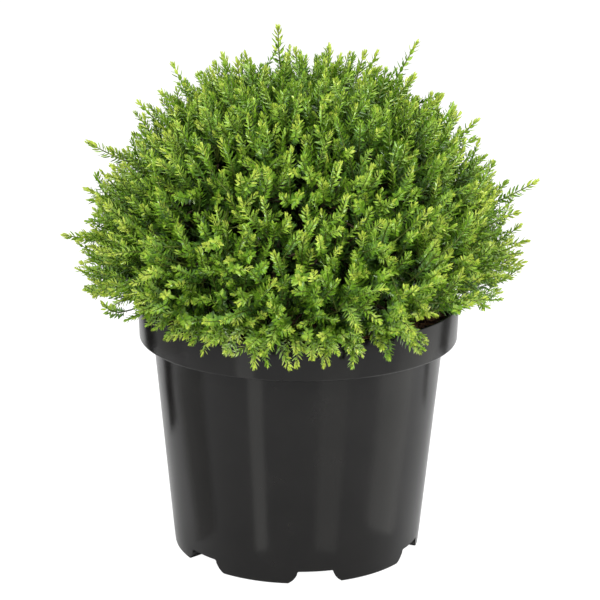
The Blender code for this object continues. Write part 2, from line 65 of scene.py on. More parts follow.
FOOT_CORNER_STEPS = 5
FOOT_CORNER_STEP = math.radians(16.0)
DRAIN_RADIUS = 0.0045
DRAIN_CIRCLE_RADIUS = 0.0500
DRAIN_CUT_HEIGHT = 0.0080
BELOW_GROUND = 0.0020


def body_radius(level):
    """Outer radius of the pot's body at a height above the ground."""
    return BODY_RADIUS_BOTTOM + (BODY_RADIUS_TOP - BODY_RADIUS_BOTTOM) * level / LEDGE_LEVEL


def collar_radius(level):
    """Outer radius of the pot's collar at a height above the ground."""
    share = (level - LEDGE_LEVEL) / COLLAR_HEIGHT
    return COLLAR_RADIUS_BOTTOM + (COLLAR_RADIUS_TOP - COLLAR_RADIUS_BOTTOM) * share


def rounding(centre_radius, centre_level, radius, start, end, steps):
    """Rings of a rounded edge, for angles in degrees from outwards, turning upwards."""
    rings = []
    for step in range(steps + 1):
        angle = math.radians(start + (end - start) * step / steps)
        rings.append((centre_radius + radius * math.cos(angle), centre_level + radius * math.sin(angle)))
    return rings


def pick(*pieces):
    """Selects these pieces and nothing else, with the first of them active."""
    bpy.ops.object.select_all(action="DESELECT")
    for piece in pieces:
        piece.select_set(True)
    if pieces:
        bpy.context.view_layer.objects.active = pieces[0]


def start_editing(piece, kind="VERT", wanted=None):
    """Edit mode, with only the edges or faces selected that pass a test."""
    pick(piece)
    bpy.ops.object.mode_set(mode="EDIT")
    bpy.ops.mesh.select_mode(type=kind)
    bpy.ops.mesh.select_all(action="DESELECT")
    if wanted is not None:
        bpy.ops.object.mode_set(mode="OBJECT")
        for part in piece.data.edges if kind == "EDGE" else piece.data.polygons:
            part.select = wanted(part)
        bpy.ops.object.mode_set(mode="EDIT")


def pull_up_rings(name, rings, sides):
    """Round shell drawn out of a circle, ring by ring, and closed over both of its ends."""
    pick()
    first_radius, first_level = rings[0]
    bpy.ops.mesh.primitive_circle_add(vertices=sides, radius=first_radius, fill_type="NGON")
    shell = bpy.context.object
    shell.name = name
    bpy.ops.object.mode_set(mode="EDIT")
    bpy.ops.mesh.select_all(action="SELECT")
    bpy.ops.transform.translate(value=(0.0, 0.0, first_level))
    for (radius, level), (next_radius, next_level) in zip(rings, rings[1:]):
        bpy.ops.mesh.extrude_region_move(TRANSFORM_OT_translate={"value": (0.0, 0.0, next_level - level)})
        grow = next_radius / radius
        bpy.ops.transform.resize(value=(grow, grow, 1.0), center_override=(0.0, 0.0, next_level))
    bpy.ops.mesh.select_all(action="SELECT")
    bpy.ops.mesh.normals_make_consistent(inside=False)
    bpy.ops.object.mode_set(mode="OBJECT")
    return shell


def apply_modifiers(piece):
    pick(piece)
    for modifier in list(piece.modifiers):
        bpy.ops.object.modifier_apply(modifier=modifier.name)


def smooth_by_angle(piece, degrees):
    pick(piece)
    bpy.ops.object.shade_smooth_by_angle(angle=math.radians(degrees))


def cut_away(piece, cutters):
    """Boolean difference with each cutter, after which the cutters are gone."""
    for cutter in cutters:
        cut = piece.modifiers.new("Cut", "BOOLEAN")
        cut.operation = "DIFFERENCE"
        cut.solver = "EXACT"
        cut.object = cutter
    apply_modifiers(piece)
    for cutter in cutters:
        bpy.data.objects.remove(cutter, do_unlink=True)


pot_rings = [(body_radius(FLOOR_TOP) - WALL, FLOOR_TOP)]
pot_rings += [(body_radius(level) - WALL, level) for level in (0.050, 0.090, LEDGE_LEVEL + WALL)]
pot_rings.append((collar_radius(LEDGE_LEVEL + WALL) - WALL, LEDGE_LEVEL + WALL))
pot_rings += rounding(COLLAR_RADIUS_TOP - WALL / 2, POT_HEIGHT - WALL / 2, WALL / 2, 180, 0, 6)
pot_rings += rounding(COLLAR_RADIUS_BOTTOM - LEDGE_ROUND, LEDGE_LEVEL + LEDGE_ROUND, LEDGE_ROUND, 0, -90, 6)
pot_rings += rounding(BODY_RADIUS_TOP + LEDGE_CORNER, LEDGE_LEVEL - LEDGE_CORNER, LEDGE_CORNER, 90, 180, 3)
pot_rings += [(body_radius(level), level) for level in (0.105, 0.080, 0.055, 0.030, 0.012)]
pot_rings += rounding(BODY_RADIUS_BOTTOM - FOOT_EDGE_ROUND, FOOT_EDGE_ROUND, FOOT_EDGE_ROUND, 0, -90, 4)
pot_rings += rounding(FOOT_INNER_RADIUS + FOOT_EDGE_ROUND, FOOT_EDGE_ROUND, FOOT_EDGE_ROUND, -90, -180, 3)
pot_rings.append((FOOT_INNER_RADIUS, FLOOR_UNDERSIDE))
pot = pull_up_rings("pot_shell", pot_rings, POT_SIDES)


def upper_radial(block, edge):
    """Whether an edge of a notch cutter runs radially along its top."""
    start, end = (block.data.vertices[index].co for index in edge.vertices)
    return abs(start.x - end.x) > NOTCH_DEPTH / 2 and start.z > (FOOT_CORNER_ROUND + FLOOR_UNDERSIDE) / 2


def notch_half_width(angle):
    """Half width of a notch at an angle of its lower corners, which open towards the ground."""
    opening = FOOT_CORNER_SLANT * math.sin(angle) + (1 - FOOT_CORNER_SLANT) * (1 - math.cos(angle))
    return NOTCH_HALF_WIDTH + FOOT_CORNER_SPREAD * opening


cutters = []
for degrees in NOTCH_AZIMUTHS:
    azimuth = math.radians(degrees)
    outwards = Vector((math.cos(azimuth), math.sin(azimuth), 0.0))
    pick()
    bpy.ops.mesh.primitive_cube_add(size=1.0)
    notch = bpy.context.object
    bpy.ops.object.mode_set(mode="EDIT")
    notch_height = FLOOR_UNDERSIDE - FOOT_CORNER_ROUND
    bpy.ops.transform.resize(value=(NOTCH_DEPTH, 2 * NOTCH_HALF_WIDTH, notch_height))
    bpy.ops.transform.translate(value=(0.0, 0.0, FOOT_CORNER_ROUND + notch_height / 2))
    bpy.ops.object.mode_set(mode="OBJECT")
    start_editing(notch, "EDGE", lambda edge: upper_radial(notch, edge))
    bpy.ops.mesh.bevel(offset=NOTCH_TOP_ROUND, segments=4, affect="EDGES")
    bpy.ops.object.mode_set(mode="OBJECT")
    start_editing(notch, "FACE", lambda face: face.normal.z < -0.9)
    width, level = NOTCH_HALF_WIDTH, FOOT_CORNER_ROUND
    for step in range(1, FOOT_CORNER_STEPS + 1):
        angle = FOOT_CORNER_STEP * step
        next_width = notch_half_width(angle)
        next_level = FOOT_CORNER_ROUND * (1 - math.sin(angle)) if step < FOOT_CORNER_STEPS else -BELOW_GROUND
        bpy.ops.mesh.extrude_region_move(TRANSFORM_OT_translate={"value": (0.0, 0.0, next_level - level)})
        bpy.ops.transform.resize(value=(1.0, next_width / width, 1.0), center_override=(0.0, 0.0, next_level))
        width, level = next_width, next_level
    bpy.ops.object.mode_set(mode="OBJECT")
    notch.rotation_euler.z = azimuth
    notch.location = outwards * (FOOT_INNER_RADIUS + NOTCH_DEPTH / 2 - BELOW_GROUND)
    cutters.append(notch)
    pick()
    bpy.ops.mesh.primitive_cylinder_add(
        vertices=24, radius=DRAIN_RADIUS, depth=DRAIN_CUT_HEIGHT,
        location=outwards * DRAIN_CIRCLE_RADIUS + Vector((0.0, 0.0, (FLOOR_UNDERSIDE + FLOOR_TOP) / 2)),
    )
    cutters.append(bpy.context.object)
cut_away(pot, cutters)
smooth_by_angle(pot, 38.0)


def fill_in(node, values):
    """Sets some of a node's inputs, and gives the node back."""
    for entry, value in values.items():
        node.inputs[entry].default_value = value
    return node


def rescaling(nodes, given=(0.0, 1.0), wanted=(0.0, 1.0)):
    """Node that turns values of one range into those of another."""
    entries = ("From Min", "From Max", "To Min", "To Max")
    return fill_in(nodes.new("ShaderNodeMapRange"), dict(zip(entries, (*given, *wanted))))


def sum_of(nodes, operation, second=1.0):
    """Node that works out a sum, with the number given where nothing is linked."""
    node = fill_in(nodes.new("ShaderNodeMath"), {1: second})
    node.operation = operation
    return node


def wire(tree, *joins):
    """Links in a node tree, each from a node's output to an input of the next."""
    for node, output, next_node, entry in joins:
        tree.links.new(node.outputs[output], next_node.inputs[entry])


def grain_effect():
    """Node group: two sizes of random mottling over an object's own space."""
    group = bpy.data.node_groups.new("grain", "ShaderNodeTree")
    for name, way, kind in (
        ("Vector", "INPUT", "Vector"), ("Scale", "INPUT", "Float"), ("Fine Share", "INPUT", "Float"),
        ("Mask", "OUTPUT", "Float"), ("Height", "OUTPUT", "Float"),
    ):
        group.interface.new_socket(name, in_out=way, socket_type=f"NodeSocket{kind}")
    nodes = group.nodes
    inside, outside = nodes.new("NodeGroupInput"), nodes.new("NodeGroupOutput")
    broad, fine = (fill_in(nodes.new("ShaderNodeTexNoise"), {"Detail": detail}) for detail in (3.0, 2.0))
    finer = sum_of(nodes, "MULTIPLY", 6.0)
    blend = nodes.new("ShaderNodeMix")
    contrast = rescaling(nodes, given=(0.32, 0.68))
    wire(
        group,
        (inside, "Vector", broad, "Vector"), (inside, "Scale", broad, "Scale"),
        (inside, "Scale", finer, 0), (inside, "Vector", fine, "Vector"), (finer, 0, fine, "Scale"),
        (inside, "Fine Share", blend, 0), (broad, "Fac", blend, 2), (fine, "Fac", blend, 3),
        (blend, 0, contrast, "Value"), (contrast, "Result", outside, "Mask"), (blend, 0, outside, "Height"),
    )
    return group


grain = grain_effect()


def grained_material(name, dark, light, scale, fine_share, roughness, relief, gloss=0.5):
    """Material whose colour, roughness and relief vary with the grain group."""
    material = bpy.data.materials.new(name)
    material.use_nodes = True
    material.diffuse_color = (*light, 1.0)
    nodes = material.node_tree.nodes
    surface = fill_in(nodes["Principled BSDF"], {"Specular IOR Level": gloss})
    place = nodes.new("ShaderNodeTexCoord")
    mottle = nodes.new("ShaderNodeGroup")
    mottle.node_tree = grain
    fill_in(mottle, {"Scale": scale, "Fine Share": fine_share})
    colour = nodes.new("ShaderNodeMix")
    colour.data_type = "RGBA"
    fill_in(colour, {6: (*dark, 1.0), 7: (*light, 1.0)})
    spread = rescaling(nodes, wanted=roughness)
    bump = fill_in(nodes.new("ShaderNodeBump"), {"Strength": 1.0, "Distance": relief})
    wire(
        material.node_tree,
        (place, "Object", mottle, "Vector"), (mottle, "Mask", colour, 0), (colour, 2, surface, "Base Color"),
        (mottle, "Mask", spread, "Value"), (spread, "Result", surface, "Roughness"),
        (mottle, "Height", bump, "Height"), (bump, "Normal", surface, "Normal"),
    )
    return material


black_plastic = grained_material(
    "black polypropylene", (0.0048, 0.0045, 0.0043), (0.0070, 0.0065, 0.0062), 55.0, 0.25,
    roughness=(0.15, 0.21), relief=0.00004, gloss=0.22,
)
pot.data.materials.append(black_plastic)
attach(pot, "root")
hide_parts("pot")

# Compost: damp peat with bark chips and dry scraps, filled to a centimetre under the rim. It
# lies loose in the pot, a little higher round the stem's foot than at the wall.
COMPOST_EDGE_LEVEL = 0.1400
COMPOST_MIDDLE_LEVEL = 0.1430
COMPOST_MIDDLE_RADIUS = 0.0240
COMPOST_CLEARANCE = 0.0003
COMPOST_GAP = WALL + COMPOST_CLEARANCE
COMPOST_SIDES = 120
COMPOST_RINGS = 34
COMPOST_STEP = 0.0001
LUMPS = ((0.0070, 0.0026), (0.0022, 0.00156))
CHIP_COUNT = 760
CHIP_SIZES = ((0.0030, 0.0100), (0.0015, 0.0040), (0.0007, 0.0020))
CHIP_WEAR = 0.0004
CHIP_MARGIN = 0.0012
CHIP_SEED = 7
SCRAP_COUNT = 340
SCRAP_SIZES = ((0.0060, 0.0180), (0.0005, 0.0012), (0.0004, 0.0009))


def compost_level(radius):
    """Height of the compost's smooth top at a distance from the pot's axis."""
    edge = collar_radius(COMPOST_EDGE_LEVEL) - COMPOST_GAP
    share = min(1.0, max(0.0, (radius - COMPOST_MIDDLE_RADIUS) / (edge - COMPOST_MIDDLE_RADIUS)))
    return COMPOST_MIDDLE_LEVEL + (COMPOST_EDGE_LEVEL - COMPOST_MIDDLE_LEVEL) * share


compost_rings = [(body_radius(FLOOR_TOP) - COMPOST_GAP, FLOOR_TOP + COMPOST_CLEARANCE)]
shoulder_level = LEDGE_LEVEL + WALL + COMPOST_CLEARANCE
compost_rings.append((body_radius(LEDGE_LEVEL) - COMPOST_GAP, shoulder_level))
compost_rings.append((collar_radius(LEDGE_LEVEL + WALL) - COMPOST_GAP, shoulder_level + COMPOST_STEP))
compost_edge = collar_radius(COMPOST_EDGE_LEVEL) - COMPOST_GAP
for ring in range(COMPOST_RINGS):
    radius = compost_edge * (1 - ring / COMPOST_RINGS)
    compost_rings.append((radius, compost_level(radius)))
compost = pull_up_rings("compost_fill", compost_rings, COMPOST_SIDES)
top = compost.vertex_groups.new(name="top")
lowest_top = COMPOST_EDGE_LEVEL - COMPOST_STEP
top.add([corner.index for corner in compost.data.vertices if corner.co.z > lowest_top], 1.0, "REPLACE")
for size, height in LUMPS:
    lumps = bpy.data.textures.new("peat lumps", "CLOUDS")
    lumps.noise_scale = size
    lumps.noise_depth = 2
    raised = compost.modifiers.new("Lumps", "DISPLACE")
    raised.texture = lumps
    raised.texture_coords = "LOCAL"
    raised.direction = "Z"
    raised.vertex_group = "top"
    raised.strength = height
    raised.mid_level = 0.5
apply_modifiers(compost)
smooth_by_angle(compost, 60.0)
peat = grained_material(
    "damp peat", (0.010, 0.006, 0.004), (0.075, 0.040, 0.020), 420.0, 0.5,
    roughness=(0.80, 0.98), relief=0.0008, gloss=0.3,
)
compost.data.materials.append(peat)
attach(compost, "root")
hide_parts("compost")


def new_object(name, data):
    piece = bpy.data.objects.new(name, data)
    bpy.context.scene.collection.objects.link(piece)
    return piece


def mesh_of_triangles(name, points, triangles, materials, material_numbers=None, smooth=True):
    """New object at the origin from arrays of points, triangles and material numbers."""
    mesh = bpy.data.meshes.new(name)
    mesh.vertices.add(len(points))
    mesh.loops.add(triangles.size)
    mesh.polygons.add(len(triangles))
    mesh.vertices.foreach_set("co", np.ascontiguousarray(points, dtype=np.float32).ravel())
    mesh.loops.foreach_set("vertex_index", np.ascontiguousarray(triangles, dtype=np.int32).ravel())
    mesh.polygons.foreach_set("loop_start", np.arange(0, triangles.size, 3, dtype=np.int32))
    for material in materials:
        mesh.materials.append(material)
    if material_numbers is not None:
        mesh.polygons.foreach_set("material_index", material_numbers.astype(np.int32))
    mesh.polygons.foreach_set("use_smooth", np.full(len(triangles), smooth))
    mesh.update(calc_edges=True)
    return new_object(name, mesh)


def repeated(shape, triangles, origins, frames, sizes):
    """Copies of one small shape: each has its own origin, three axes and three sizes."""
    points = np.einsum("vk,nk,nkc->nvc", shape, sizes, frames) + origins[:, None, :]
    steps = np.arange(len(origins))[:, None, None] * len(shape)
    return points.reshape(-1, 3), (triangles[None] + steps).reshape(-1, 3)


def unit(vectors):
    """The same directions with a length of one."""
    return vectors / np.linalg.norm(vectors, axis=-1, keepdims=True)


def random_frames(dice, count, tilt):
    """Random axes, tilted from level by up to the given amount."""
    turn = dice.uniform(0, math.tau, count)
    along = unit(np.stack([np.cos(turn), np.sin(turn), dice.uniform(-tilt, tilt, count)], 1))
    up = np.stack([dice.uniform(-tilt, tilt, count) for _ in range(2)] + [np.ones(count)], 1)
    side = unit(np.cross(up, along))
    return np.stack([along, side, np.cross(along, side)], 1)


CHIP_CORNERS = np.array([(x, y, z) for x in (-0.5, 0.5) for y in (-0.5, 0.5) for z in (-0.5, 0.5)])
CHIP_SIDES = np.array([
    (0, 1, 3), (0, 3, 2), (4, 6, 7), (4, 7, 5), (0, 4, 5), (0, 5, 1),
    (2, 3, 7), (2, 7, 6), (0, 2, 6), (0, 6, 4), (1, 5, 7), (1, 7, 3),
])
dice = np.random.default_rng(CHIP_SEED)


def scattered_chips(count, sizes, tilt, lift):
    """Corners and sides of chips strewn over the compost, each worn to its own shape."""
    size = np.stack([dice.uniform(low, high, count) for low, high in sizes], 1)
    radius = (compost_edge - CHIP_MARGIN - size.max(axis=1) / 2) * np.sqrt(dice.uniform(0.02, 1.0, count))
    turn = dice.uniform(0, math.tau, count)
    level = np.array([compost_level(value) for value in radius])
    origins = np.stack([radius * np.cos(turn), radius * np.sin(turn), level + lift], 1)
    corners, sides = repeated(CHIP_CORNERS, CHIP_SIDES, origins, random_frames(dice, count, tilt), size)
    return corners + dice.uniform(-CHIP_WEAR, CHIP_WEAR, corners.shape), sides


chip_corners, chip_sides = scattered_chips(CHIP_COUNT, CHIP_SIZES, tilt=0.45, lift=0.0010)
chip_bark = grained_material(
    "bark chips", (0.028, 0.014, 0.008), (0.150, 0.075, 0.035), 600.0, 0.4,
    roughness=(0.70, 0.95), relief=0.0003, gloss=0.35,
)
scrap_corners, scrap_sides = scattered_chips(SCRAP_COUNT, SCRAP_SIZES, tilt=0.35, lift=0.0024)
dry_straw = grained_material(
    "dry scraps", (0.120, 0.050, 0.022), (0.330, 0.190, 0.090), 700.0, 0.4,
    roughness=(0.65, 0.90), relief=0.0002, gloss=0.35,
)
mulch = mesh_of_triangles(
    "bark_chips",
    np.concatenate([chip_corners, scrap_corners]),
    np.concatenate([chip_sides, scrap_sides + len(chip_corners)]),
    [chip_bark, dry_straw],
    np.repeat([0, 1], [len(chip_sides), len(scrap_sides)]),
    smooth=False,
)
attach(mulch, "root")

# Stem and boughs: woody, grey-brown and slightly ridged. One short stem with a flared foot
# stands in the compost, and 15 boughs leave it in three tiers, one to each mass of foliage.
CROWN_CENTRE = Vector((0.0, 0.0, 0.1780))
CROWN_RADIUS = 0.1300
CROWN_RISE = 0.1220
CROWN_DROP = 0.0630
STEM_FOOT_LEVEL = 0.1425
STEM_TOP_LEVEL = 0.1700
STEM_FLARE_RADIUS = 0.0105
STEM_FOOT_RADIUS = 0.0068
STEM_TOP_RADIUS = 0.0044
STEM_FLARE_HEIGHT = 0.0030
STEM_LEAN = Vector((0.0015, -0.0010, 0.0))
STEM_RINGS = 26
BOUGH_BASE_RADIUS = 0.0023
BOUGH_TIP_RADIUS = 0.0015
BOUGH_REACH = 0.0460
BOUGH_END = 0.0050
BOUGH_BEND_OUT = 0.60
BOUGH_BEND_UP = 0.35
BOUGH_RINGS = 18
LOWER_BOUGH_LEVELS = (0.1510, 0.1572)
UPPER_BOUGH_LEVEL = 0.1640
CAP_TILT = math.radians(23.0)
RING_SPLIT = math.radians(24.0)
CORE_LOW_EDGE = math.radians(-14.0)
UPPER_COUNT = 6
LOWER_COUNT = 8
BARK_RIDGE_SIZE = 0.0011


def stem_share(level):
    """How far up the stem a height is, from 0 at its foot to 1 at its top."""
    return (level - STEM_FOOT_LEVEL) / (STEM_TOP_LEVEL - STEM_FOOT_LEVEL)


def stem_point(level):
    return STEM_LEAN * stem_share(level) ** 2 + Vector((0.0, 0.0, level))


def stem_radius(level):
    taper = STEM_FOOT_RADIUS + (STEM_TOP_RADIUS - STEM_FOOT_RADIUS) * stem_share(level)
    flare = STEM_FLARE_RADIUS - STEM_FOOT_RADIUS
    return taper + flare * math.exp(-(level - STEM_FOOT_LEVEL) / STEM_FLARE_HEIGHT)


def crown_reach(elevation):
    """Distance from the crown's centre to its dense outline, at an elevation."""
    height = CROWN_RISE if elevation >= 0 else CROWN_DROP
    return 1.0 / math.hypot(math.cos(elevation) / CROWN_RADIUS, math.sin(elevation) / height)


def direction_to(azimuth, elevation):
    flat = math.cos(elevation)
    return Vector((flat * math.cos(azimuth), flat * math.sin(azimuth), math.sin(elevation)))


class Sector:
    """Share of the crown that one mass of foliage fills, seen from the crown's centre."""

    def __init__(self, name, azimuth, half_width, low, high):
        self.name = name
        self.azimuth = azimuth
        self.half_width = half_width
        self.low = low
        self.high = high

    def direction(self, across, up):
        """Direction for across and up between -1 and 1, from edge to edge."""
        elevation = (self.low + self.high) / 2 + up * (self.high - self.low) / 2
        return direction_to(self.azimuth + across * self.half_width, elevation)

    def axis(self):
        return self.direction(0.0, 0.0)

    def spots(self, columns, rows, scatter, chance):
        """Places spread evenly over the sector with some scatter, between -1 and 1 each way."""
        places = []
        for row in range(rows):
            for column in range(columns):
                offset = 0.5 * (row % 2) - 0.25
                sideways = column + 0.5 + offset + chance.uniform(-scatter, scatter)
                upwards = row + 0.5 + chance.uniform(-scatter, scatter)
                places.append((2 * sideways / columns - 1, 2 * upwards / rows - 1))
        return places


class Cap(Sector):
    """The sector round the crown's top, bounded by a cone."""

    def __init__(self, name, tilt):
        super().__init__(name, 0.0, math.pi, math.pi / 2 - tilt, math.pi / 2)
        self.tilt = tilt

    def direction(self, across, up):
        tilt = math.hypot(across, up) * self.tilt
        return direction_to(math.atan2(up, across), math.pi / 2 - tilt)

    def spots(self, columns, rows, scatter, chance):
        """Places along a sunflower spiral, as many as a grid of columns and rows has."""
        places = []
        total = columns * rows
        for place in range(total):
            reach = math.sqrt((place + 0.5) / total)
            turn = place * math.pi * (3 - math.sqrt(5)) + chance.uniform(-scatter, scatter)
            places.append((reach * math.cos(turn), reach * math.sin(turn)))
        return places


cap_edge = math.pi / 2 - CAP_TILT
sectors = [Cap("top", CAP_TILT)]
for index in range(UPPER_COUNT):
    azimuth = index * math.tau / UPPER_COUNT
    sectors.append(Sector(f"upper_{index + 1}", azimuth, math.pi / UPPER_COUNT, RING_SPLIT, cap_edge))
for index in range(LOWER_COUNT):
    azimuth = index * math.tau / LOWER_COUNT
    sectors.append(Sector(f"lower_{index + 1}", azimuth, math.pi / LOWER_COUNT, CORE_LOW_EDGE, RING_SPLIT))


def woody_limb(name, points, radii, fineness):
    """Round limb drawn along a path, made a closed mesh."""
    pick()
    bpy.ops.curve.primitive_nurbs_path_add(radius=1.0, location=(0.0, 0.0, 0.0))
    limb = bpy.context.object
    limb.name = name
    path = limb.data
    path.splines.clear()
    path.dimensions = "3D"
    path.bevel_depth = 1.0
    path.bevel_resolution = fineness
    path.use_fill_caps = True
    spline = path.splines.new("POLY")
    spline.points.add(len(points) - 1)
    for knot, point, radius in zip(spline.points, points, radii):
        knot.co = (*point, 1.0)
        knot.radius = radius
    bpy.ops.object.convert(target="MESH")
    limb = bpy.context.object
    start_editing(limb)
    bpy.ops.mesh.select_all(action="SELECT")
    bpy.ops.mesh.remove_doubles(threshold=0.00001)
    bpy.ops.mesh.normals_make_consistent(inside=False)
    bpy.ops.object.mode_set(mode="OBJECT")
    return limb


def curve_points(start, bend, end, count):
    """Points of a quadratic curve, from its start to its end."""
    t = np.linspace(0.0, 1.0, count)[:, None]
    return np.array(start) * (1 - t) ** 2 + np.array(bend) * 2 * t * (1 - t) + np.array(end) * t * t


def bark_ridges(limb, height):
    """Furrows of the bark, raised out of the limb's own mesh."""
    furrows = bpy.data.textures.new("bark furrows", "MUSGRAVE")
    furrows.noise_scale = BARK_RIDGE_SIZE
    raised = limb.modifiers.new("Bark", "DISPLACE")
    raised.texture = furrows
    raised.texture_coords = "LOCAL"
    raised.strength = height
    raised.mid_level = 0.5
    apply_modifiers(limb)
    smooth_by_angle(limb, 55.0)


levels = np.linspace(STEM_FOOT_LEVEL, STEM_TOP_LEVEL, STEM_RINGS + 1)
stem = woody_limb("stem_bark", [*map(stem_point, levels)], [*map(stem_radius, levels)], fineness=8)
bark_ridges(stem, height=0.0011)
bark = grained_material(
    "grey-brown bark", (0.022, 0.014, 0.009), (0.110, 0.070, 0.042), 330.0, 0.45,
    roughness=(0.75, 0.95), relief=0.0004, gloss=0.3,
)
stem.data.materials.append(bark)
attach(stem, "root")
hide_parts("stem")

limbs = []
for sector in sectors:
    tier, _, number = sector.name.partition("_")
    leaving_levels = {"top": STEM_TOP_LEVEL - STEM_TOP_RADIUS, "upper": UPPER_BOUGH_LEVEL}
    level = leaving_levels.get(tier) or LOWER_BOUGH_LEVELS[(int(number) - 1) % 2]
    tip = CROWN_CENTRE + sector.axis() * BOUGH_REACH
    base = stem_point(level)
    shoulder = tip - sector.axis() * BOUGH_END
    bend = Vector((tip.x * BOUGH_BEND_OUT, tip.y * BOUGH_BEND_OUT, base.z + (tip.z - base.z) * BOUGH_BEND_UP))
    points = [*curve_points(base, bend, shoulder, BOUGH_RINGS), tip]
    radii = [*np.linspace(BOUGH_BASE_RADIUS, BOUGH_TIP_RADIUS, BOUGH_RINGS), BOUGH_TIP_RADIUS]
    limbs.append(woody_limb(f"bough_bark_{sector.name}", points, radii, fineness=3))
pick(*limbs)
bpy.ops.object.join()
boughs = bpy.context.object
boughs.name = "boughs_bark"
bark_ridges(boughs, height=0.0005)
boughs.data.materials.append(bark)
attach(boughs, "root")
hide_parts(*[f"bough_{sector.name}" for sector in sectors])

# Foliage: twigs that go on from the boughs and fork twice, with leafy shoots all over the
# dome, some hanging over the rim. Each shoot has crossed pairs of small, firm, glossy leaves,
# yellow-green at its tip and deeper green below, and plain old leaves fill the shade inside,
# dark partly with age and partly as painted shade. Darker greens towards the top, in the
# dome's dips and on sunken shoots are painted shade, lighter ones on its bulges painted light.
HUB_REACH = 0.0660
FORK_SHARE = 0.60
FORK_SCATTER = 0.03
FORK_SPREAD = 0.84
FORK_BEND = 0.4
FORK_ARCH = 0.004
SPRIG_SHARE = 0.77
SPRIG_SCATTER = 0.035
SPRIG_ARCH = 0.003
SPRIG_LOWEST = math.radians(-11.0)
TIP_SHARES = (0.880, 0.975)
STRAY_TIP_SHARES = (0.985, 1.040)
STRAY_PART = 0.09
LONGEST_TIP_SHARE = 1.015
SUNKEN_TIP_SHARES = (0.78, 0.89)
SUNKEN_PART = 0.36
BULGE_SIZE = 3.4
BULGE_SWELL = 0.070
DIP_WAY = direction_to(0.0, math.radians(40.0))
DIP_DEPTH = 0.06
DIP_SPREAD = 0.35
CLUMP_SIZE = 11.0
CLUMP_SWELL = 0.110
# Painted light and shade: shoots on the dome's bulges take lighter greens, those in its dips darker ones
CLUMP_PAINTED_LIGHT_AND_SHADE = 5.0
# Painted shade: shoots towards the top take darker greens, as if less lit
TOP_PAINTED_SHADE = 0.6
TOP_PAINTED_SHADE_START = 0.35
TWIG_KNOTS = 5
TWIG_SIDES = 3
SHOOT_KNOTS = 25
HUB_TWIG_RADII = (0.00150, 0.00135)
FORK_TWIG_RADII = (0.00120, 0.00095)
SPRIG_TWIG_RADII = (0.00095, 0.00060)
SHOOT_STEM_RADII = (0.00050, 0.00026)
THICKEST_SHOOT_SIZE = 1.4
SHOOT_LENGTH = 0.028
SHOOT_BEND = 0.48
BEND_OVER_RIM = 0.006
SHOOT_PAIRS = 23
SHOOT_SIZES = (0.92, 1.22)
SHOOT_TONES = (-0.5, -0.2, 0.0, 0.3, 0.7)
SHOOT_SCATTER = 0.38
SPACING_SHARES = (0.88, 1.30)
SUNKEN_PAIRS = 14
# Painted shade: sunken shoots inside the dome take these darker greens
SUNKEN_PAINTED_SHADE_TONES = (0.8, 1.2, 1.8)
HANGING_PAIRS = 22
HANGING_SIZES = (0.95, 1.2)
HANGING_TONES = (-0.4, 0.0, 0.4, 0.9)
OLD_SHOOTS = 150
OLD_PAIRS = 13
OLD_PAIR_SPACING = 0.0026
OLD_LEAF_SIZE = 1.8
# Tone of the old leaves: partly their age, partly painted shade that darkens the crown's inside
OLD_AND_PAINTED_SHADE_TONE = 2.9
OLD_TIP_SHARES = (0.62, 0.82)
DEEP_TIP_SHARES = (0.45, 0.62)
OLD_BEND_SCATTER = 0.005
LEAF_LENGTH = 0.0042
LEAF_WIDTH = 0.00140
STALK_LENGTH = 0.00025
PAIR_SPACING = 0.00118
CLOSEST_GAP_SHARE = 0.40
GAP_GROWTH = 0.12
FIRST_PAIR_DEPTH = 0.0006
BARE_FOOT = 0.002
TANGENT_STEP = 0.001
TURN_SCATTER = 0.20
SPREAD_SCATTER = 0.13
WAY_SCATTER = 0.07
WAY_LIFT = 0.06
FACE_SCATTER = 0.16
LENGTH_SCATTER = (0.88, 1.10)
WIDTH_SCATTER = (0.90, 1.15)
SHADE_SCATTER = 0.35
SHADE_STEP = 0.155
LEADER_PAIRS = 19
LEADER_SIZE = 1.45
LEADER_SPACING_SHARE = 1.6
LEADER_TONE = -0.3
LEADER_SCATTER = 0.10
LEADER_RISE_SHARE = 0.4
EDGE_MARGIN = 1e-6
SEED = 41

# How leaves open along a shoot: number of the pair from the tip, and angle off the stem
OPENING = ((0, 10.0), (1.5, 23.0), (3, 35.0), (4.5, 45.0), (7.5, 55.0), (12, 61.0), (18, 65.0))

# How leaves grow along a shoot: number of the pair from the tip, and share of full length
GROWTH = ((0, 0.50), (1.5, 0.64), (3, 0.76), (4.5, 0.86), (7.5, 0.95), (10, 1.0))

# How shoots turn up: height of the way out of the dome, and the pull upwards added to it
RISE = ((-0.30, -0.30), (-0.17, -0.05), (0.0, 0.25), (0.35, 0.62), (1.0, 0.30))

# Lowest tips outside the skirt: how far the skirt hangs there, and their elevation
LOWEST_TIPS = ((-0.004, -4.5), (-0.001, -8.0), (0.005, -10.0), (0.010, -18.0))

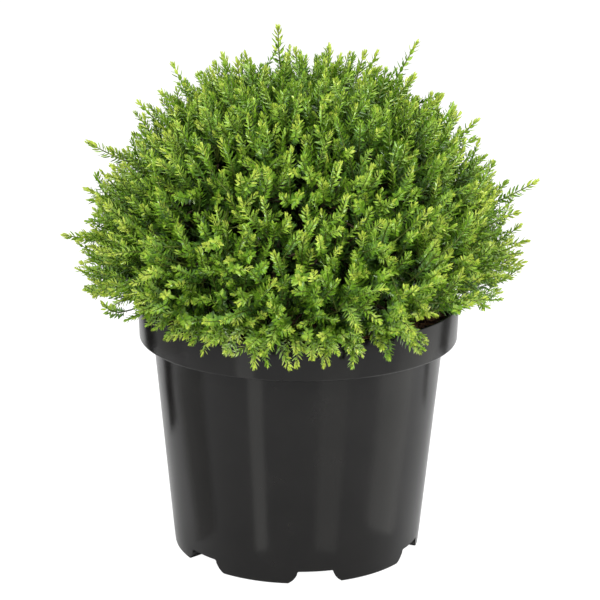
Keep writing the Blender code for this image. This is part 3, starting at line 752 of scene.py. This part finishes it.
# Shoots that stand out of the dome: azimuth and elevation in degrees, reach in metres
LEADERS = (
    (180, 84.5, 0.1356), (180, 88.6, 0.1222), (0, 82.1, 0.1232), (180, 75.1, 0.1241),
    (180, 72.3, 0.1218), (0, 73.0, 0.1265), (0, 70.0, 0.1288), (0, 62.2, 0.1436),
    (0, 58.6, 0.1265), (180, 64.9, 0.1226), (180, 56.8, 0.1350), (180, 44.1, 0.1308),
    (0, 49.5, 0.1263), (0, 44.7, 0.1266), (0, 38.5, 0.1317), (180, 28.4, 0.1409),
    (180, 29.6, 0.1277), (0, 18.3, 0.1464), (180, 17.2, 0.1319), (0, 11.8, 0.1318),
    (180, 4.5, 0.1394), (0, 4.2, 0.1354), (0, -1.3, 0.1340), (180, -2.3, 0.1261),
    (180, -5.2, 0.1215), (0, -5.8, 0.1270), (180, -11.0, 0.1253), (0, -15.3, 0.1171),
    (270, 9.0, 0.1408), (90, 9.0, 0.1408), (90, 38.0, 0.1380), (60, 20.0, 0.1400),
    (118, 27.0, 0.1390), (146, 12.0, 0.1405), (32, 33.0, 0.1375), (75, 60.0, 0.1340),
    (128, 55.0, 0.1350), (100, 4.0, 0.1385),
)

# How far the lowest shoots hang below the pot's rim: azimuth in degrees, drop in metres.
# A negative drop leaves the rim bare there.
HANG = (
    (-180, -0.001), (-150, -0.001), (-143, 0.002), (-134.6, 0.003), (-131, 0.010),
    (-123, 0.013), (-115, 0.012), (-108, 0.013), (-105, 0.019), (-90, 0.020),
    (-85, 0.023), (-78, 0.017), (-63, 0.022), (-57, 0.019), (-53, 0.011),
    (-51, -0.004), (4, -0.004), (12, 0.003), (35, 0.011), (90, 0.014),
    (140, 0.011), (160, 0.004), (170, -0.001), (180, -0.001),
)
RIM_MARGIN = 0.0012
COMPOST_MARGIN = 0.002
HANGING_PER_SECTOR = 30
HANG_NEAREST = 0.007
HANG_SPREAD = 0.016
HANG_START = 0.003
HANG_SWAY = 0.012
HANG_BEND_IN = 0.002
HANG_BEND_RISE = 0.013
HANG_BASE_RISE = 0.004

# Grids of forks, sprigs and shoots in each kind of sector: columns, rows and scatter
GRIDS = {
    "top": ((2, 2, 0.2), (6, 5, 0.25), (12, 12, 0.42)),
    "upper": ((2, 2, 0.2), (6, 6, 0.25), (14, 12, 0.42)),
    "lower": ((2, 2, 0.2), (5, 6, 0.25), (13, 12, 0.42)),
}

# How far the sprigs spread and shift down in a sector, as the shoots above its edge lean up
SPRIG_SPREADS = {"top": (1.20, 1.20, 0.0), "upper": (0.94, 1.14, -0.20), "lower": (0.94, 0.94, 0.0)}
UP = np.array((0.0, 0.0, 1.0))


def from_table(value, rows):
    """Second column of a table at a value of its first, by straight lines between rows."""
    return np.interp(value, *zip(*rows))


def hang_at(azimuth):
    """How far the skirt hangs below the rim, in metres."""
    return float(from_table((math.degrees(azimuth) + 180.0) % 360.0 - 180.0, HANG))


def lowest_tip(azimuth):
    """Elevation of the lowest tips outside the skirt, higher where the rim shows."""
    return math.radians(from_table(hang_at(azimuth), LOWEST_TIPS))


def swell(way):
    """How far the dome bulges or dips in a direction, as its shoots stand in clumps."""
    bulge = BULGE_SWELL * noise.noise(way * BULGE_SIZE)
    dip = DIP_DEPTH * math.exp(-((way - DIP_WAY).length / DIP_SPREAD) ** 2)
    return 1.0 + bulge - dip + CLUMP_SWELL * noise.noise(way * CLUMP_SIZE)


def crown_point(way, share):
    """Point at a share of the dense outline's distance in a direction."""
    return np.array(CROWN_CENTRE + way * crown_reach(math.asin(max(-1.0, min(1.0, way.z)))) * share)


def clear_of_pot(points):
    """Whether points are outside the pot, over its rim, or inside it above the compost."""
    radius, level = np.hypot(points[..., 0], points[..., 1]), points[..., 2]
    outside = (level > POT_HEIGHT + RIM_MARGIN) | (radius > COLLAR_RADIUS_TOP + RIM_MARGIN)
    within = radius < COLLAR_RADIUS_TOP - WALL - RIM_MARGIN
    return outside | within & (level > COMPOST_MIDDLE_LEVEL + COMPOST_MARGIN)


def nearest(places, goal):
    return min(places, key=lambda place: np.linalg.norm(place - goal))


class Growth:
    """Twigs and leaves of one sector, gathered in arrays."""

    def __init__(self, sector):
        self.sector = sector
        self.kind = sector.name.partition("_")[0]
        self.random = random.Random(f"{SEED}-{sector.name}")
        self.dice = np.random.default_rng(SEED + sum(map(ord, sector.name)))
        self.hub = np.array(CROWN_CENTRE + sector.axis() * HUB_REACH)
        self.forks, self.sprigs, self.twigs = [], [], []
        self.leaves, self.inner_leaves = [], []

    def add_twig(self, start, bend, end, radii):
        """Brown twig from its thicker start to its end."""
        self.twigs.append((curve_points(start, bend, end, TWIG_KNOTS), np.linspace(*radii, TWIG_KNOTS), 0))

    def add_shoot(self, base, bend, tip, pairs, spacing, size, tone, inner=False):
        """Stem with crossed pairs of leaves, closest and smallest at its tip."""
        path = curve_points(base, bend, tip, SHOOT_KNOTS)
        if not clear_of_pot(path).all():
            return
        run = np.concatenate([[0.0], np.cumsum(np.linalg.norm(np.diff(path, axis=0), axis=1))])
        total = run[-1]

        def place_at(distance):
            return np.stack([np.interp(distance, run, path[:, axis]) for axis in range(3)], 1)

        rank = np.arange(pairs)
        gaps = spacing * np.clip(CLOSEST_GAP_SHARE + GAP_GROWTH * rank, CLOSEST_GAP_SHARE, 1.0)
        depth = np.concatenate([[0.0], np.cumsum(gaps)[:-1]]) + FIRST_PAIR_DEPTH
        keep = depth < total - BARE_FOOT
        rank, at = rank[keep], total - depth[keep]
        count = len(rank)
        centre = place_at(at)
        tangent = unit(place_at(np.minimum(at + TANGENT_STEP, total)) - place_at(at - TANGENT_STEP))
        plane = unit(np.cross(bend - base, tip - bend))
        turn = self.dice.uniform(0, math.tau) + rank * math.pi / 2
        turn = (turn + self.dice.normal(0, TURN_SCATTER, count))[:, None]
        side = plane * np.cos(turn) + np.cross(plane, tangent) * np.sin(turn)
        spread = np.radians(from_table(rank, OPENING))
        length = size * LEAF_LENGTH * from_table(rank, GROWTH)
        for out in (side, -side):
            angle = (spread + self.dice.normal(0, SPREAD_SCATTER, count))[:, None]
            along = tangent * np.cos(angle) + out * np.sin(angle)
            along += self.dice.normal(0, WAY_SCATTER, along.shape)
            along[:, 2] += WAY_LIFT
            along = unit(along)
            facing = tangent * np.sin(angle) - out * np.cos(angle)
            facing += self.dice.normal(0, FACE_SCATTER, facing.shape)
            across = unit(np.cross(facing, along))
            facing = np.cross(along, across)
            root = centre + out * STALK_LENGTH
            long = length * self.dice.uniform(*LENGTH_SCATTER, count)
            wide = long * (LEAF_WIDTH / LEAF_LENGTH) * self.dice.uniform(*WIDTH_SCATTER, count)
            shade = np.clip(rank * SHADE_STEP + tone + self.dice.normal(0, SHADE_SCATTER, count), 0, 4)
            blade = along * long[:, None]
            free = clear_of_pot(root + blade * 0.5) & clear_of_pot(root + blade)
            leaves = self.inner_leaves if inner else self.leaves
            leaves.append([part[free] for part in (root, along, across, facing, long, wide, shade)])
        stem = path[::(SHOOT_KNOTS - 1) // (TWIG_KNOTS - 1)]
        radii = np.linspace(*SHOOT_STEM_RADII, TWIG_KNOTS) * min(size, THICKEST_SHOOT_SIZE)
        self.twigs.append((stem, radii, 0 if inner else 1))

    def add_twigs(self):
        """Twigs from the bough's tip to a hub, on to forks, and from the forks to sprigs."""
        sector, chance, hub, axis = self.sector, self.random, self.hub, self.sector.axis()
        bough_tip = np.array(CROWN_CENTRE + axis * BOUGH_REACH)
        self.add_twig(bough_tip, (bough_tip + hub) / 2, hub, HUB_TWIG_RADII)
        fork_grid, sprig_grid, _ = GRIDS[self.kind]
        for across, up in sector.spots(*fork_grid, chance) + [(0.0, 0.0)]:
            way = sector.direction(across * FORK_SPREAD, up * FORK_SPREAD)
            fork = crown_point(way, FORK_SHARE + chance.uniform(-FORK_SCATTER, FORK_SCATTER))
            bend = hub * (1 - FORK_BEND) + fork * FORK_BEND + np.array(axis) * FORK_ARCH
            self.add_twig(hub, bend, fork, FORK_TWIG_RADII)
            self.forks.append(fork)
        wide_share, high_share, shift = SPRIG_SPREADS[self.kind]
        for across, up in sector.spots(*sprig_grid, chance):
            way = sector.direction(across * wide_share, up * high_share + shift)
            way = direction_to(math.atan2(way.y, way.x), max(math.asin(way.z), SPRIG_LOWEST))
            sprig = crown_point(way, SPRIG_SHARE + chance.uniform(-SPRIG_SCATTER, SPRIG_SCATTER))
            fork = nearest(self.forks, sprig)
            bend = (fork + sprig) / 2 + unit(fork - np.array(CROWN_CENTRE)) * SPRIG_ARCH
            self.add_twig(fork, bend, sprig, SPRIG_TWIG_RADII)
            self.sprigs.append(sprig)

    def chosen_tips(self):
        """Direction, reach, tone and pairs of leaves of each shoot that makes the dome."""
        sector, chance, tips = self.sector, self.random, []
        for across, up in sector.spots(*GRIDS[self.kind][2], chance):
            way = sector.direction(across, up)
            if self.kind == "lower":
                azimuth = math.atan2(way.y, way.x)
                lowest = lowest_tip(azimuth)
                share = (math.asin(way.z) - CORE_LOW_EDGE) / (RING_SPLIT - CORE_LOW_EDGE)
                way = direction_to(azimuth, lowest + (RING_SPLIT - lowest) * share)
            draw = chance.random()
            sunken = draw < SUNKEN_PART
            stray = draw > 1 - STRAY_PART
            shares = SUNKEN_TIP_SHARES if sunken else STRAY_TIP_SHARES if stray else TIP_SHARES
            share = min(chance.uniform(*shares) * swell(way), LONGEST_TIP_SHARE)
            # Sunken shoots take darker tones as painted shade
            tone = chance.choice(SUNKEN_PAINTED_SHADE_TONES if sunken else SHOOT_TONES)
            # Painted shade towards the top and in the dome's dips, painted light on its bulges
            tone += TOP_PAINTED_SHADE * max(0.0, way.z - TOP_PAINTED_SHADE_START) - CLUMP_PAINTED_LIGHT_AND_SHADE * (swell(way) - 1.0)
            tips.append((way, share, tone, SUNKEN_PAIRS if sunken else SHOOT_PAIRS))
        for azimuth, elevation, reach in LEADERS:
            way = direction_to(math.radians(azimuth), math.radians(elevation))
            angle = math.asin(way.z)
            offset = abs((math.radians(azimuth) - sector.azimuth + math.pi) % math.tau - math.pi)
            beside = self.kind == "top" or offset < sector.half_width + EDGE_MARGIN
            low = -math.pi / 2 if self.kind == "lower" else sector.low
            if beside and low <= angle < sector.high + EDGE_MARGIN:
                tips.append((way, reach / crown_reach(angle), LEADER_TONE, LEADER_PAIRS))
        return tips

    def add_outer_shoots(self):
        """Shoots that make the dome, each from the sprig nearest to where it should start."""
        chance = self.random
        for way, share, tone, pairs in self.chosen_tips():
            leader = pairs == LEADER_PAIRS
            tip = crown_point(way, share)
            aim = np.array(way) + self.dice.normal(0, LEADER_SCATTER if leader else SHOOT_SCATTER, 3)
            aim = unit(aim + UP * from_table(way.z, RISE) * (LEADER_RISE_SHARE if leader else 1.0))
            base = nearest(self.sprigs, tip - aim * SHOOT_LENGTH)
            bend = tip - aim * np.linalg.norm(tip - base) * SHOOT_BEND
            if not clear_of_pot(bend):
                bend[2] = POT_HEIGHT + BEND_OVER_RIM
            spacing = PAIR_SPACING * (LEADER_SPACING_SHARE if leader else chance.uniform(*SPACING_SHARES))
            size = LEADER_SIZE if leader else chance.uniform(*SHOOT_SIZES)
            self.add_shoot(base, bend, tip, pairs, spacing, size, tone)

    def add_hanging_shoots(self):
        """Shoots that hang over the pot's rim, where it isn't bare."""
        sector, chance = self.sector, self.random
        for place in range(HANGING_PER_SECTOR):
            across = 2 * (place + chance.uniform(0.1, 0.9)) / HANGING_PER_SECTOR - 1
            azimuth = sector.azimuth + across * sector.half_width
            drop = hang_at(azimuth)
            if drop < 0:
                continue
            outwards = direction_to(azimuth, 0.0)
            fall = chance.uniform(-0.5, 1.0)
            out = COLLAR_RADIUS_TOP + HANG_NEAREST + chance.uniform(0.0, HANG_SPREAD) * (1.1 - 0.5 * fall)
            level = POT_HEIGHT + HANG_START - (drop - 0.25 * (out - COLLAR_RADIUS_TOP)) * fall
            sideways = chance.uniform(-HANG_SWAY, HANG_SWAY)
            tip = np.array(outwards * out + direction_to(azimuth + math.pi / 2, 0.0) * sideways) + UP * level
            over_rim = POT_HEIGHT + HANG_BEND_RISE - 0.2 * drop
            bend = np.array(outwards * (COLLAR_RADIUS_TOP - HANG_BEND_IN)) + UP * over_rim
            base = nearest(self.sprigs, bend + UP * HANG_BASE_RISE)
            size, tone = chance.uniform(*HANGING_SIZES), chance.choice(HANGING_TONES)
            self.add_shoot(base, bend, tip, HANGING_PAIRS, PAIR_SPACING, size, tone)

    def add_old_shoots(self):
        """Old leaves, dark with age and with painted shade; every third shoot of them deep inside."""
        chance, hub = self.random, self.hub
        for place in range(OLD_SHOOTS):
            way = self.sector.direction(chance.uniform(-1.0, 1.0), chance.uniform(-1.0, 1.0))
            deep = place % 3 == 0
            tip = crown_point(way, chance.uniform(*(DEEP_TIP_SHARES if deep else OLD_TIP_SHARES)))
            fork = hub if deep else nearest(self.forks, tip)
            bend = (fork + tip) / 2 + self.dice.normal(0, OLD_BEND_SCATTER, 3)
            self.add_shoot(fork, bend, tip, OLD_PAIRS, OLD_PAIR_SPACING, OLD_LEAF_SIZE, OLD_AND_PAINTED_SHADE_TONE, inner=True)


growths = [Growth(sector) for sector in sectors]
for growth in growths:
    growth.add_twigs()
    growth.add_outer_shoots()
    if growth.kind == "lower":
        growth.add_hanging_shoots()
    growth.add_old_shoots()

# One leaf: base, three points across, two nearer the tip, and the tip, folded along its midrib
leaf_shape = np.array((
    (0.0, 0.0, 0.0), (0.34, -0.48, 0.01), (0.34, 0.0, -0.06), (0.34, 0.48, 0.01),
    (0.74, -0.36, 0.05), (0.74, 0.36, 0.05), (1.0, 0.0, 0.10),
))
leaf_faces = np.array([(0, 1, 2), (0, 2, 3), (1, 4, 2), (2, 4, 5), (2, 5, 3), (4, 6, 5)])
old_leaf_shape = np.array(((0.0, 0.0, 0.0), (0.45, -0.6, 0.0), (0.45, 0.6, 0.0), (1.0, 0.0, 0.05)))
old_leaf_faces = np.array([(0, 1, 2), (1, 3, 2)])

# Greens from bud to shaded leaf: the extra blue in the bud and young greens is painted sheen, and the deep
# and shaded greens serve partly as painted shade
leaf_greens = [
    grained_material(name, dark, light, 900.0, 0.3, roughness=(0.28, 0.44), relief=0.00003, gloss=0.6)
    for name, dark, light in (
        ("bud yellow-green", (0.400, 0.540, 0.060), (0.570, 0.665, 0.095)),
        ("young leaf green", (0.230, 0.400, 0.032), (0.330, 0.505, 0.048)),
        ("leaf green", (0.125, 0.270, 0.012), (0.188, 0.360, 0.018)),
        ("deep leaf green", (0.066, 0.165, 0.013), (0.100, 0.222, 0.018)),
        ("shaded leaf green", (0.034, 0.092, 0.012), (0.056, 0.130, 0.017)),
    )
]
shoot_green = grained_material(
    "green shoot", (0.075, 0.120, 0.012), (0.150, 0.200, 0.025), 500.0, 0.3,
    roughness=(0.45, 0.65), relief=0.0001,
)
for growth in growths:
    points, faces, tones = np.empty((0, 3)), np.empty((0, 3), dtype=int), np.empty(0, dtype=int)
    for shape, triangles, kept in (
        (leaf_shape, leaf_faces, growth.leaves), (old_leaf_shape, old_leaf_faces, growth.inner_leaves),
    ):
        roots, alongs, acrosses, facings, longs, wides, shades = (np.concatenate(part) for part in zip(*kept))
        frames = np.stack([alongs, acrosses, facings], 1)
        spots, corners = repeated(shape, triangles, roots, frames, np.stack([longs, wides, longs], 1))
        faces = np.concatenate([faces, corners + len(points)])
        points = np.concatenate([points, spots])
        tones = np.concatenate([tones, np.repeat(np.rint(shades).astype(int), len(triangles))])
    leaves = mesh_of_triangles(f"leaves_{growth.sector.name}", points, faces, leaf_greens, tones)
    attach(leaves, "root")
    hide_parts(f"foliage_{growth.sector.name}")


def tubes(paths, radii, sides):
    """Closed tubes along paths of equally many points, and the number of triangles in each."""
    count, knots = radii.shape
    tangents = unit(np.gradient(paths, axis=1))
    reference = unit(np.cross(tangents, np.array((0.37, 0.61, 0.70))))
    second = np.cross(tangents, reference)
    turn = np.arange(sides) * math.tau / sides
    ring = reference[:, :, None, :] * np.cos(turn)[:, None] + second[:, :, None, :] * np.sin(turn)[:, None]
    points = paths[:, :, None, :] + ring * radii[:, :, None, None]
    faces = []
    for knot in range(knots - 1):
        for side in range(sides):
            a = knot * sides + side
            b = knot * sides + (side + 1) % sides
            faces += [(a, b, b + sides), (a, b + sides, a + sides)]
    for side in range(1, sides - 1):
        end = (knots - 1) * sides
        faces += [(0, side + 1, side), (end, end + side, end + side + 1)]
    faces = np.array(faces)
    steps = np.arange(count)[:, None, None] * (knots * sides)
    return points.reshape(-1, 3), (faces[None] + steps).reshape(-1, 3), len(faces)


for tier in ("top", "upper", "lower"):
    members = [growth for growth in growths if growth.sector.name.startswith(tier)]
    twigs = [twig for growth in members for twig in growth.twigs]
    paths, radii, greens = (np.array(part) for part in zip(*twigs))
    points, faces, per_twig = tubes(paths, radii, TWIG_SIDES)
    colours = np.repeat(greens, per_twig)
    piece = mesh_of_triangles(f"twigs_{tier}", points, faces, [bark, shoot_green], colours)
    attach(piece, "root")
    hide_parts(*[f"foliage_{growth.sector.name}" for growth in members])

# Studio: a plain white table under large soft lights, as for a catalogue picture. Upright
# cards beside the pot show only in its gloss, as its pale streaks and darker flanks.
TABLE_SIZE = 8.0
TABLE_LEVEL = -0.0004
TABLE_GLOW = 1.25
TABLE_GLOW_SHARE = 0.80
STUDIO_GLOW = 0.55
STUDIO_WHITE = 1.05
CARD_FADES = {"X": 0.28, "Y": 0.14}

pick()
bpy.ops.mesh.primitive_plane_add(size=TABLE_SIZE, location=(0.0, 0.0, TABLE_LEVEL))
table_top = bpy.context.object
table_top.name = "table_top"
white_paper = bpy.data.materials.new("white table")
white_paper.use_nodes = True
paper_nodes = white_paper.node_tree.nodes
paper = paper_nodes["Principled BSDF"]
fill_in(paper, {"Base Color": (0.80, 0.80, 0.80, 1.0), "Roughness": 0.9, "Specular IOR Level": 0.1})
blown_out = fill_in(paper_nodes.new("ShaderNodeEmission"), {"Strength": TABLE_GLOW})
seen_by_camera = paper_nodes.new("ShaderNodeLightPath")
mostly = sum_of(paper_nodes, "MULTIPLY", TABLE_GLOW_SHARE)
both = paper_nodes.new("ShaderNodeMixShader")
wire(
    white_paper.node_tree,
    (seen_by_camera, "Is Camera Ray", mostly, 0), (mostly, 0, both, "Fac"), (paper, "BSDF", both, 1),
    (blown_out, "Emission", both, 2), (both, "Shader", paper_nodes["Material Output"], "Surface"),
)
table_top.data.materials.append(white_paper)

studio = bpy.data.worlds.new("white studio")
studio.use_nodes = True
studio_nodes = studio.node_tree.nodes
backdrop = fill_in(studio_nodes["Background"], {"Color": (1.0, 1.0, 1.0, 1.0)})
light_path = studio_nodes.new("ShaderNodeLightPath")
seen = rescaling(studio_nodes, wanted=(STUDIO_GLOW, STUDIO_WHITE))
wire(studio.node_tree, (light_path, "Is Camera Ray", seen, "Value"), (seen, "Result", backdrop, "Strength"))
bpy.context.scene.world = studio


def soft_box(name, place, size, power, aim=(0.0, 0.0, 0.17)):
    """Square soft light that faces the plant."""
    lamp = bpy.data.lights.new(name, "AREA")
    lamp.size = size
    lamp.energy = power
    box = new_object(name, lamp)
    box.location = place
    box.rotation_euler = (Vector(aim) - Vector(place)).to_track_quat("-Z", "Y").to_euler()


soft_box("key_light", (-0.7, -1.0, 1.2), 0.50, 17.5)
soft_box("fill_light", (0.9, -0.8, 1.0), 0.50, 16.0)
soft_box("back_light", (0.2, 0.9, 1.4), 0.8, 7.0)


def reflector(name, place, facing, width, low, high, brightness):
    """Upright card with soft edges, dark or glowing, that only the pot's reflections see."""
    card = bpy.data.materials.new(name)
    card.use_nodes = True
    nodes = card.node_tree.nodes
    glow = fill_in(nodes["Principled BSDF"], {
        "Base Color": (0.010, 0.006, 0.006, 1.0), "Emission Color": (1.0, 1.0, 0.97, 1.0),
        "Emission Strength": brightness,
    })
    place_on_card = nodes.new("ShaderNodeTexCoord")
    split = nodes.new("ShaderNodeSeparateXYZ")
    both_ways = sum_of(nodes, "MULTIPLY")
    for number, (axis, edge) in enumerate(CARD_FADES.items()):
        from_middle = sum_of(nodes, "ABSOLUTE")
        fade = rescaling(nodes, given=(0.5, 0.5 - edge))
        fade.interpolation_type = "SMOOTHSTEP"
        wire(
            card.node_tree,
            (split, axis, from_middle, 0), (from_middle, 0, fade, "Value"),
            (fade, "Result", both_ways, number),
        )
    clear = nodes.new("ShaderNodeBsdfTransparent")
    faded = nodes.new("ShaderNodeMixShader")
    wire(
        card.node_tree,
        (place_on_card, "Object", split, 0), (both_ways, 0, faded, "Fac"), (clear, "BSDF", faded, 1),
        (glow, "BSDF", faded, 2), (faded, "Shader", nodes["Material Output"], "Surface"),
    )
    pick()
    bpy.ops.mesh.primitive_plane_add(size=1.0)
    plane = bpy.context.object
    plane.name = name
    plane.scale = (width, high - low, 1.0)
    plane.rotation_euler = (math.pi / 2, 0.0, math.radians(facing))
    plane.location = (*place, (low + high) / 2)
    plane.data.materials.append(card)
    plane.visible_camera = plane.visible_diffuse = plane.visible_shadow = False


reflector("dark_left_low", (-0.1730, 0.0493), 42.0, 0.056, 0.020, 0.095, 0.0)
reflector("dark_left_high", (-0.1861, 0.0380), 42.0, 0.099, 0.080, 0.180, 0.0)
reflector("dim_left_low", (-0.0900, -0.0550), 72.0, 0.043, -0.024, 0.1285, 0.60)
reflector("dim_left_high", (-0.1867, -0.0296), 72.0, 0.109, 0.080, 0.200, 0.75)
reflector("dark_right_low", (0.1770, 0.0456), -42.0, 0.028, 0.040, 0.095, 0.30)
reflector("dark_right_high", (0.1880, 0.0358), -42.0, 0.062, 0.080, 0.180, 0.20)
reflector("strip_left", (-0.0372, -0.1006), -33.0, 0.018, -0.036, 0.180, 2.3)
reflector("strip_middle", (0.0317, -0.1027), 28.0, 0.034, -0.036, 0.180, 1.65)
reflector("strip_right", (0.0956, -0.0654), 84.0, 0.062, -0.036, 0.180, 1.9)

camera_data = bpy.data.cameras.new("camera")
camera_data.sensor_width = 36.0
camera_data.lens = 114.7
camera_data.clip_start = 0.05
camera_data.clip_end = 50.0
camera = new_object("camera", camera_data)
CAMERA_PLACE = Vector((0.00086, -1.100, 0.455))
CAMERA_PITCH = math.radians(15.47)
CAMERA_ROLL = math.radians(0.5)
camera.matrix_world = (
    Matrix.Translation(CAMERA_PLACE)
    @ Matrix.Rotation(math.pi / 2 - CAMERA_PITCH, 4, "X")
    @ Matrix.Rotation(CAMERA_ROLL, 4, "Z")
)
bpy.context.scene.camera = camera
bpy.context.scene.view_settings.view_transform = "Standard"
